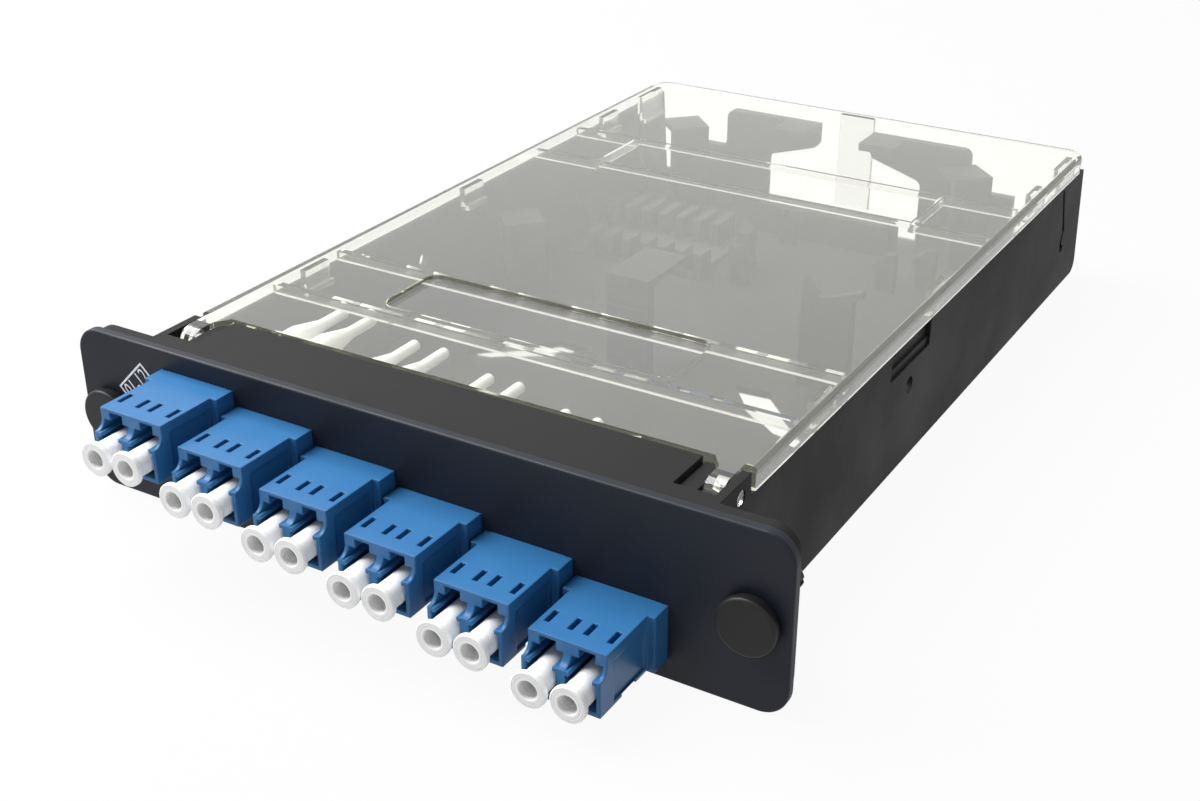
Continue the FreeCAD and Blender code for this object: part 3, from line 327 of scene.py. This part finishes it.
def clear_polycarbonate():
    """The lid: it refracts, hazes a little, and lets the lamp light what lies under it."""
    material = bpy.data.materials.new("clear_polycarbonate")
    material.use_nodes = True
    tree = material.node_tree
    out = tree.nodes["Material Output"]
    shader = tree.nodes["Principled BSDF"]
    shader.inputs["Base Color"].default_value = LID_TINT
    shader.inputs["IOR"].default_value = LID_IOR
    shader.inputs["Transmission Weight"].default_value = LID_CLEARNESS
    haze = place_effect(tree, DRIFT, {"Cloud Scale": LID_CLOUD_SCALE})
    tree.links.new(rough_from(tree, haze["Cloud"], *LID_ROUGH), shader.inputs["Roughness"])
    clear = tree.nodes.new("ShaderNodeBsdfTransparent")
    clear.inputs["Color"].default_value = LID_SHADOW_TINT
    path = tree.nodes.new("ShaderNodeLightPath").outputs
    unseen = joined(tree, "MAXIMUM", path["Is Shadow Ray"], path["Is Diffuse Ray"])
    tree.links.new(mixed(tree, unseen, shader.outputs[0], clear.outputs[0]), out.inputs["Surface"])
    depth = tree.nodes.new("ShaderNodeVolumeAbsorption")
    depth.inputs["Color"].default_value = LID_DEPTH_TINT
    depth.inputs["Density"].default_value = LID_DEPTH_DENSITY
    tree.links.new(depth.outputs[0], out.inputs["Volume"])
    return material


def make_finishes():
    """The finish of every node, by the start of its name."""
    ceramic = plastic("zirconia_white", colour=(0.83, 0.82, 0.79), rough=(0.08, 0.14), specular=0.7,
                      drift=0.02, edge=0.05, height=0.02)
    latch = plastic("latch_black", colour=(0.012, 0.012, 0.012), rough=(0.35, 0.45), specular=0.25,
                    edge=0.2)
    return {
        "faceplate": plastic("faceplate_paint", colour=(0.0088, 0.0113, 0.019), rough=(0.42, 0.55),
                             specular=0.25, drift=0.1, cloud=90.0, edge=0.2, grain=2200.0, height=0.35),
        "tray": plastic("tray_black", colour=(0.0215, 0.0215, 0.0215), rough=(0.45, 0.6),
                        specular=0.07, drift=0.1, cloud=45.0, edge=0.2, grain=2600.0, height=0.3),
        "splice_holder": plastic("holder_black", colour=(0.036, 0.036, 0.035), rough=(0.45, 0.6),
                                 specular=0.2),
        "lid": clear_polycarbonate(),
        "latch_": latch,
        "adapter_": plastic("adapter_blue", colour=(0.028, 0.14, 0.33), rough=(0.28, 0.38),
                            specular=0.28, drift=0.05, cloud=120.0, edge=0.45, grain=4000.0, height=0.12),
        "alignment_sleeves_": ceramic,
        "ferrules": ceramic,
        "dust_cap_": plastic("cap_white", colour=(0.93, 0.93, 0.93), rough=(0.4, 0.5), specular=0.35,
                             drift=0.02),
        "connector_": plastic("plug_white", colour=(0.82, 0.82, 0.81), rough=(0.3, 0.4), drift=0.02,
                              edge=0.12),
        "boot_": plastic("boot_white", colour=(0.93, 0.93, 0.93), rough=(0.5, 0.6), specular=0.3,
                         drift=0.03, edge=0.2),
    }


def finish_nodes(finishes):
    for name, node in cassette.items():
        for start, finish in finishes.items():
            if name.startswith(start):
                node.data.materials.clear()
                node.data.materials.append(finish)


def put_on_body(piece, body):
    """A finished piece is linked to the scene and moves with its body."""
    bpy.context.scene.collection.objects.link(piece)
    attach(piece, body)


# Dust cap: radii, and lengths from its front face.
PORTS = 12
CAP_RIM = 2.85 * MM
CAP_RIM_THICK = 0.9 * MM
CAP_RIM_ROUND = 0.2 * MM
CAP_RIM_SEGMENTS = 4
CAP_FACE_RINGS = (2.02 * MM, 2.42 * MM)
CAP_FACE_RING_WIDTH = 0.12 * MM
CAP_FACE_RING_SLOPE = 0.03 * MM
CAP_BARREL = 2.1 * MM
CAP_BARREL_FILLET = 0.1 * MM
CAP_BARREL_RINGS_END = 5.4 * MM
CAP_BARREL_RING_HEIGHT = 0.035 * MM
CAP_TAIL = 2.05 * MM
CAP_TAIL_TAPER = 0.3 * MM
CAP_TAIL_TIP = 1.85 * MM
CAP_LENGTH = 14.85 * MM
CAP_BORE = 1.5 * MM
CAP_BORE_DEPTH = 7.0 * MM
CAP_BORE_MOUTH = 0.3 * MM
CAP_BORE_CHAMFER = 0.12 * MM
CAP_SOCKET = 1.72 * MM
CAP_SOCKET_DEPTH = 3.6 * MM
CAP_RING_PITCH = 0.55 * MM
CAP_RING_DEPTH = 0.05 * MM
CAP_STEPS = 48
SHARP_ANGLE = math.radians(35)
SAME_POINT = 0.0005 * MM
SAME_PLACE = 0.01 * MM

# Where a fine ring rises, is full and falls, as shares of the pitch.
RING_FOOT = 0.72
RING_START = 0.8
RING_END = 0.92


def ringed_run(radius, start, end, ring):
    """Points along a turned wall with a fine ring every pitch, where the radius changes by ring."""
    count = int(abs(end - start) / CAP_RING_PITCH)
    step = (end - start) / count
    points = []
    for turn in range(count):
        here = start + turn * step
        points.append((radius, here))
        points.append((radius, here + step * RING_FOOT))
        points.append((radius + ring, here + step * RING_START))
        points.append((radius + ring, here + step * RING_END))
    return points + [(radius, end)]


def face_ring(inner):
    """A shallow groove round the cap's front face."""
    slope = CAP_FACE_RING_SLOPE
    outer = inner + CAP_FACE_RING_WIDTH
    return [(inner, 0), (inner + slope, CAP_RING_DEPTH), (outer - slope, CAP_RING_DEPTH), (outer, 0)]


def cap_profile():
    """Half section of a dust cap: radius and distance behind its front face."""
    socket_floor = CAP_LENGTH - CAP_SOCKET_DEPTH
    rings_start = CAP_RIM_THICK + CAP_BARREL_FILLET
    profile = [(0, CAP_BORE_DEPTH)]
    profile += ringed_run(CAP_BORE, CAP_BORE_DEPTH, CAP_BORE_MOUTH, CAP_RING_DEPTH)
    profile += [(CAP_BORE, CAP_BORE_CHAMFER), (CAP_BORE + CAP_BORE_CHAMFER, 0)]
    for inner in CAP_FACE_RINGS:
        profile += face_ring(inner)
    profile += [(CAP_RIM, 0), (CAP_RIM, CAP_RIM_THICK), (CAP_BARREL + CAP_BARREL_FILLET, CAP_RIM_THICK)]
    profile += ringed_run(CAP_BARREL, rings_start, CAP_BARREL_RINGS_END, -CAP_BARREL_RING_HEIGHT)
    profile += [(CAP_TAIL, CAP_LENGTH - CAP_TAIL_TAPER), (CAP_TAIL_TIP, CAP_LENGTH)]
    profile += [(CAP_SOCKET, CAP_LENGTH), (CAP_SOCKET, socket_floor), (0, socket_floor)]
    return profile


def on_rim(edge):
    """True for an edge that runs round the outside of the rim."""
    first, second = (corner.co for corner in edge.verts)
    inmost = min(math.hypot(first.x, first.z), math.hypot(second.x, second.z))
    return inmost > CAP_RIM - SAME_PLACE and abs(first.y - second.y) < SAME_PLACE


def turn_cap():
    """The cap as a lathe would turn it, its front face at the origin and its plug towards +Y."""
    shape = bmesh.new()
    points = [shape.verts.new((radius, depth, 0)) for radius, depth in cap_profile()]
    line = [shape.edges.new(pair) for pair in zip(points, points[1:])]
    bmesh.ops.spin(shape, geom=points + line, cent=(0, 0, 0), axis=(0, 1, 0), dvec=(0, 0, 0),
                   angle=math.tau, steps=CAP_STEPS, use_merge=True, use_duplicate=False)
    bmesh.ops.remove_doubles(shape, verts=shape.verts, dist=SAME_POINT)
    bmesh.ops.recalc_face_normals(shape, faces=shape.faces)
    rim = [edge for edge in shape.edges if on_rim(edge)]
    bmesh.ops.bevel(shape, geom=rim, offset=CAP_RIM_ROUND, offset_type="OFFSET",
                    segments=CAP_RIM_SEGMENTS, profile=0.5, affect="EDGES", material=-1)
    mesh = bpy.data.meshes.new("turned_cap")
    shape.to_mesh(mesh)
    shape.free()
    mesh.shade_smooth()
    mesh.set_sharp_from_angle(angle=SHARP_ANGLE)
    return mesh


def make_dust_caps(finish):
    """A turned cap in the place of each plain one."""
    turned = turn_cap()
    for number in range(1, PORTS + 1):
        node = "dust_cap_%02d" % number
        low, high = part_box(node)
        mesh = turned.copy()
        mesh.name = "turned_cap_%02d" % number
        front = ((low[0] + high[0]) / 2, low[1], (low[2] + high[2]) / 2)
        mesh.transform(Matrix.Translation(front))
        mesh.materials.append(finish)
        cap = bpy.data.objects.new("turned_cap_%02d" % number, mesh)
        put_on_body(cap, node)
        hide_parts(node)
    bpy.data.meshes.remove(turned)


# Port label: its upper corner on the faceplate, its size, line and ink.
LABEL_CORNER_X = -56.69 * MM
LABEL_CORNER_Z = 5.48 * MM
LABEL_WIDE = 7.83 * MM
LABEL_HIGH = 3.95 * MM
LABEL_LEAN = math.radians(-45)
LABEL_LINE = 0.34 * MM
LABEL_THICK = 0.02 * MM
LABEL_FRAME_DEPTH = 0.018 * MM
LABEL_COUNT = "01-12"
DIGITS_HIGH = 2.95 * MM
DIGITS_WIDE = 6.3 * MM
DIGITS_THINNED = 0.015 * MM
DIGITS_SUNK = 0.005 * MM


def label_on_plate():
    """From the label's own plane, with its corner at the origin, to its place on the faceplate."""
    plate_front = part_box("faceplate")[0][1]
    place = Matrix.Translation((LABEL_CORNER_X, plate_front - LABEL_THICK, LABEL_CORNER_Z))
    lean = Matrix.Rotation(LABEL_LEAN, 4, "Y")
    upright = Matrix.Rotation(math.radians(90), 4, "X")
    return place @ lean @ upright


def label_frame():
    """A thin line round the label."""
    shape = bmesh.new()
    bmesh.ops.create_grid(shape, x_segments=1, y_segments=1, size=0.5)
    bmesh.ops.translate(shape, verts=shape.verts, vec=(0.5, -0.5, 0))
    bmesh.ops.scale(shape, verts=shape.verts, vec=(LABEL_WIDE, LABEL_HIGH, 1))
    inside = shape.faces[:]
    bmesh.ops.inset_region(shape, faces=inside, thickness=LABEL_LINE, use_even_offset=True,
                           use_boundary=True)
    bmesh.ops.delete(shape, geom=inside, context="FACES")
    grown = bmesh.ops.extrude_face_region(shape, geom=shape.faces[:])
    back = [item for item in grown["geom"] if isinstance(item, bmesh.types.BMVert)]
    bmesh.ops.translate(shape, verts=back, vec=(0, 0, -LABEL_FRAME_DEPTH))
    bmesh.ops.recalc_face_normals(shape, faces=shape.faces)
    mesh = bpy.data.meshes.new("label_frame")
    shape.to_mesh(mesh)
    shape.free()
    return mesh


def label_digits():
    """The count of the ports, in the middle of the label."""
    curve = bpy.data.curves.new("label_digits", "FONT")
    curve.body = LABEL_COUNT
    curve.size = DIGITS_HIGH
    curve.extrude = LABEL_THICK / 2
    curve.offset = -DIGITS_THINNED
    flat = bpy.data.objects.new("label_digits_flat", curve)
    digits = bpy.data.meshes.new_from_object(flat)
    digits.name = "label_digits"
    bpy.data.objects.remove(flat)
    xs = [vertex.co.x for vertex in digits.vertices]
    ys = [vertex.co.y for vertex in digits.vertices]
    middle = Vector((min(xs) + max(xs), min(ys) + max(ys), 0)) / 2
    stretch = (DIGITS_WIDE / (max(xs) - min(xs)), DIGITS_HIGH / (max(ys) - min(ys)), 1, 1)
    label_middle = (LABEL_WIDE / 2, -LABEL_HIGH / 2, -DIGITS_SUNK)
    digits.transform(Matrix.Translation(label_middle) @ Matrix.Diagonal(stretch)
                     @ Matrix.Translation(-middle))
    digits.materials.clear()
    return digits


def make_port_label():
    """A printed strip at 45 degrees that counts the ports, in light grey ink, a little uneven."""
    ink = plastic("label_print", colour=(0.74, 0.75, 0.77), rough=(0.5, 0.6), specular=0.3, drift=0.08,
                  cloud=900.0, edge=0.02, grain=5000.0, height=0.05)
    place = label_on_plate()
    for mesh in (label_frame(), label_digits()):
        mesh.transform(place)
        mesh.materials.append(ink)
        put_on_body(bpy.data.objects.new(mesh.name, mesh), "housing")


place_camera()
hang_softbox()
light_room()
lay_floor()
finishes = make_finishes()
finish_nodes(finishes)
make_dust_caps(finishes["dust_cap_"])
make_port_label()

bpy.context.scene.view_settings.view_transform = "Standard"
